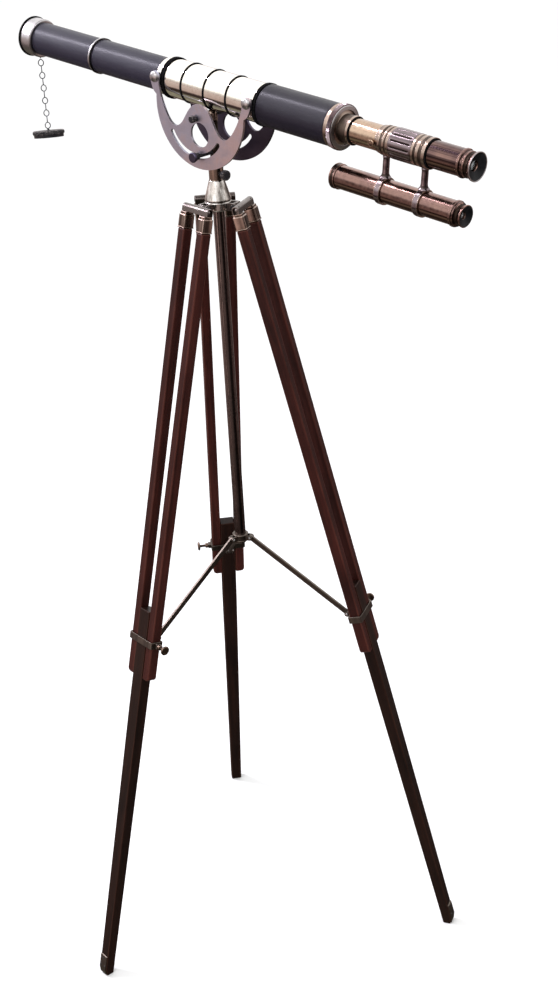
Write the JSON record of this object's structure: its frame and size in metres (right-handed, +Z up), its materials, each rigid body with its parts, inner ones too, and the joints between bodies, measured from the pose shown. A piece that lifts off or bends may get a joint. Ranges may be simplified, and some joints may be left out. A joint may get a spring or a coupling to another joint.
{
  "type": "tripod telescope",
  "caption": "Refracting telescope with leather-covered tube, draw tube, sighting scope and chained dust cap, on a yoke mount with a folding wooden tripod.",
  "frame": {"origin": "on the floor, at the centre of the bounding box seen from above, with the three feet at z = 0", "axes": "+Z up; the rear leg points along +Y; the eyepiece points towards +X and -Y, 52.6 degrees below +X seen from above"},
  "size_m": [0.674, 0.8094, 1.6349],
  "materials": {
    "polished_brass": "aged lacquered brass, satin polish",
    "pink_brass": "rose brass with drawn lines",
    "nickel": "worn nickel plate, satin",
    "bright_sleeve": "mirror polished sleeve",
    "bronze": "browned brass",
    "dark_grip": "dark chromed grip",
    "brushed_plate": "brushed plate with a warm cast",
    "black_lacquer": "black lacquer",
    "dark_brass": "dark browned brass",
    "chain_metal": "dull nickel wire",
    "tube_leather": "grained leather wrap, dark grey violet",
    "mahogany": "polished dark red mahogany",
    "dark_mahogany": "polished darker mahogany",
    "lens_glass": "clear lens"
  },
  "bodies": {
    "head": {"head_cone": "nickel", "hinge_pin_a": "black_lacquer", "hinge_pin_b": "black_lacquer", "hinge_pin_c": "black_lacquer", "centre_column": "dark_brass"},
    "pan_lock": {"pan_lock_knob": "black_lacquer"},
    "mount": {"pillar": "polished_brass"},
    "pivot_screw": {"pivot_bolt": "black_lacquer"},
    "tilt_clamp": {"tilt_clamp_bolt": "black_lacquer"},
    "telescope": {"yoke_plate_near": "brushed_plate", "yoke_plate_far": "brushed_plate", "main_barrel": "bright_sleeve", "front_leather": "tube_leather", "mid_leather": "tube_leather", "rear_leather": "tube_leather", "front_band": "nickel", "rear_flange": "polished_brass", "objective_cell": "nickel", "objective_lens": "lens_glass"},
    "draw": {"draw_tube": "polished_brass", "collar_front": "pink_brass", "collar_rear": "pink_brass", "finder_tube": "bronze", "finder_cell": "bronze", "finder_lens": "lens_glass", "finder_clamp_front": "bronze", "finder_clamp_rear": "bronze"},
    "focus_ring": {"focus_grip": "dark_grip"},
    "eyepiece": {"eyepiece_tube": "bronze", "eyecup": "bronze", "eye_lens": "lens_glass"},
    "draw_stop": {"stop_screw": "polished_brass"},
    "finder_focus": {"finder_eyepiece": "bronze"},
    "chain": {"cap_chain": "chain_metal"},
    "cap": {"dust_cap": "black_lacquer"},
    "collar": {"slide_collar": "pink_brass"},
    "leg_a": {"leg_head_a": "brushed_plate", "rail_left_a": "mahogany", "rail_right_a": "mahogany", "clamp_band_a": "dark_brass"},
    "lower_a": {"lower_leg_a": "dark_mahogany", "toe_plate_a": "bronze"},
    "clamp_a": {"clamp_knob_a": "bronze"},
    "link_a": {"brace_a": "dark_brass"},
    "leg_b": {"leg_head_b": "brushed_plate", "rail_left_b": "mahogany", "rail_right_b": "mahogany", "clamp_band_b": "dark_brass"},
    "lower_b": {"lower_leg_b": "dark_mahogany", "toe_plate_b": "bronze"},
    "clamp_b": {"clamp_knob_b": "bronze"},
    "link_b": {"brace_b": "dark_brass"},
    "leg_c": {"leg_head_c": "brushed_plate", "rail_left_c": "mahogany", "rail_right_c": "mahogany", "clamp_band_c": "dark_brass"},
    "lower_c": {"lower_leg_c": "dark_mahogany", "toe_plate_c": "bronze"},
    "clamp_c": {"clamp_knob_c": "bronze"},
    "link_c": {"brace_c": "dark_brass"}
  },
  "joints": [
    {"name": "pan", "type": "hinge", "parent": "head", "child": "mount", "pos_m": [0, 0.02072, 1.5155], "axis": [0, 0, 1], "continuous": true},
    {"name": "pan_lock_turn", "type": "hinge", "parent": "head", "child": "pan_lock", "pos_m": [0, 0.02072, 1.421], "axis": [0.4695, -0.8829, 0], "range_deg": [0, 360]},
    {"name": "tilt", "type": "hinge", "parent": "mount", "child": "telescope", "pos_m": [0, 0.02072, 1.5155], "axis": [0.7944, 0.6074, 0], "range_deg": [-63, 51]},
    {"name": "pivot_screw_turn", "type": "hinge", "parent": "mount", "child": "pivot_screw", "pos_m": [0, 0.02072, 1.5155], "axis": [0.7944, 0.6074, 0], "range_deg": [0, 360]},
    {"name": "tilt_clamp_turn", "type": "hinge", "parent": "mount", "child": "tilt_clamp", "pos_m": [0, 0.02072, 1.456], "axis": [0.7944, 0.6074, 0], "range_deg": [0, 360]},
    {"name": "draw_slide", "type": "slide", "parent": "telescope", "child": "draw", "axis": [0.6038, -0.7898, -0.108], "range_m": [-0.04, 0.083]},
    {"name": "focus_turn", "type": "hinge", "parent": "draw", "child": "focus_ring", "pos_m": [0.2363, -0.28835, 1.51347], "axis": [0.6038, -0.7898, -0.108], "range_deg": [-270, 270]},
    {"name": "eyepiece_slide", "type": "slide", "parent": "draw", "child": "eyepiece", "axis": [0.6038, -0.7898, -0.108], "range_m": [-0.012, 0.012]},
    {"name": "draw_stop_turn", "type": "hinge", "parent": "draw", "child": "draw_stop", "pos_m": [0.21064, -0.25479, 1.51806], "axis": [-0.7971, -0.5976, -0.0867], "range_deg": [0, 360]},
    {"name": "finder_focus_slide", "type": "slide", "parent": "draw", "child": "finder_focus", "axis": [0.6038, -0.7898, -0.108], "range_m": [0, 0.008]},
    {"name": "chain_swing", "type": "hinge", "parent": "telescope", "child": "chain", "pos_m": [-0.25236, 0.35079, 1.56406], "axis": [0.7944, 0.6074, 0], "range_deg": [-50, 50]},
    {"name": "cap_swing", "type": "hinge", "parent": "chain", "child": "cap", "pos_m": [-0.25236, 0.35079, 1.44306], "axis": [0.7944, 0.6074, 0], "range_deg": [-40, 40]},
    {"name": "collar_slide", "type": "slide", "parent": "head", "child": "collar", "axis": [0, 0, 1], "range_m": [0, 0.077]},
    {"name": "leg_fold_a", "type": "hinge", "parent": "head", "child": "leg_a", "pos_m": [-0.02598, 0.00572, 1.368], "axis": [0.5, -0.866, 0], "range_deg": [0, 13.67]},
    {"name": "leg_slide_a", "type": "slide", "parent": "leg_a", "child": "lower_a", "axis": [0.2047, 0.1182, 0.9717], "range_m": [-0.04, 0.52]},
    {"name": "clamp_turn_a", "type": "hinge", "parent": "leg_a", "child": "clamp_a", "pos_m": [-0.17095, -0.12163, 0.64628], "axis": [0.5, -0.866, 0], "range_deg": [0, 540]},
    {"name": "brace_fold_a", "type": "hinge", "parent": "collar", "child": "link_a", "pos_m": [-0.01645, 0.01122, 0.768], "axis": [0.5, -0.866, 0], "range_deg": [0, 56.1]},
    {"name": "leg_fold_b", "type": "hinge", "parent": "head", "child": "leg_b", "pos_m": [0.02598, 0.00572, 1.368], "axis": [0.5, 0.866, 0], "range_deg": [0, 13.67]},
    {"name": "leg_slide_b", "type": "slide", "parent": "leg_b", "child": "lower_b", "axis": [-0.2047, 0.1182, 0.9717], "range_m": [-0.04, 0.52]},
    {"name": "clamp_turn_b", "type": "hinge", "parent": "leg_b", "child": "clamp_b", "pos_m": [0.20875, -0.05616, 0.64628], "axis": [0.5, 0.866, 0], "range_deg": [0, 540]},
    {"name": "brace_fold_b", "type": "hinge", "parent": "collar", "child": "link_b", "pos_m": [0.01645, 0.01122, 0.768], "axis": [0.5, 0.866, 0], "range_deg": [0, 56.1]},
    {"name": "leg_fold_c", "type": "hinge", "parent": "head", "child": "leg_c", "pos_m": [0, 0.05072, 1.368], "axis": [-1, 0, 0], "range_deg": [0, 13.67]},
    {"name": "leg_slide_c", "type": "slide", "parent": "leg_c", "child": "lower_c", "axis": [0, -0.2363, 0.9717], "range_m": [-0.04, 0.52]},
    {"name": "clamp_turn_c", "type": "hinge", "parent": "leg_c", "child": "clamp_c", "pos_m": [-0.0378, 0.23994, 0.64628], "axis": [-1, 0, 0], "range_deg": [0, 540]},
    {"name": "brace_fold_c", "type": "hinge", "parent": "collar", "child": "link_c", "pos_m": [0, 0.03972, 0.768], "axis": [-1, 0, 0], "range_deg": [0, 56.1]}
  ],
  "couplings": [
    {"joint": "eyepiece_slide", "follows": "focus_turn", "m_per_rad": 0.002546},
    {"joint": "brace_fold_a", "follows": "leg_fold_a", "ratio": 4.1},
    {"joint": "leg_fold_b", "follows": "leg_fold_a", "ratio": 1},
    {"joint": "brace_fold_b", "follows": "leg_fold_a", "ratio": 4.1},
    {"joint": "leg_fold_c", "follows": "leg_fold_a", "ratio": 1},
    {"joint": "brace_fold_c", "follows": "leg_fold_a", "ratio": 4.1},
    {"joint": "collar_slide", "follows": "leg_fold_a", "m_per_rad": 0.3185}
  ]
}
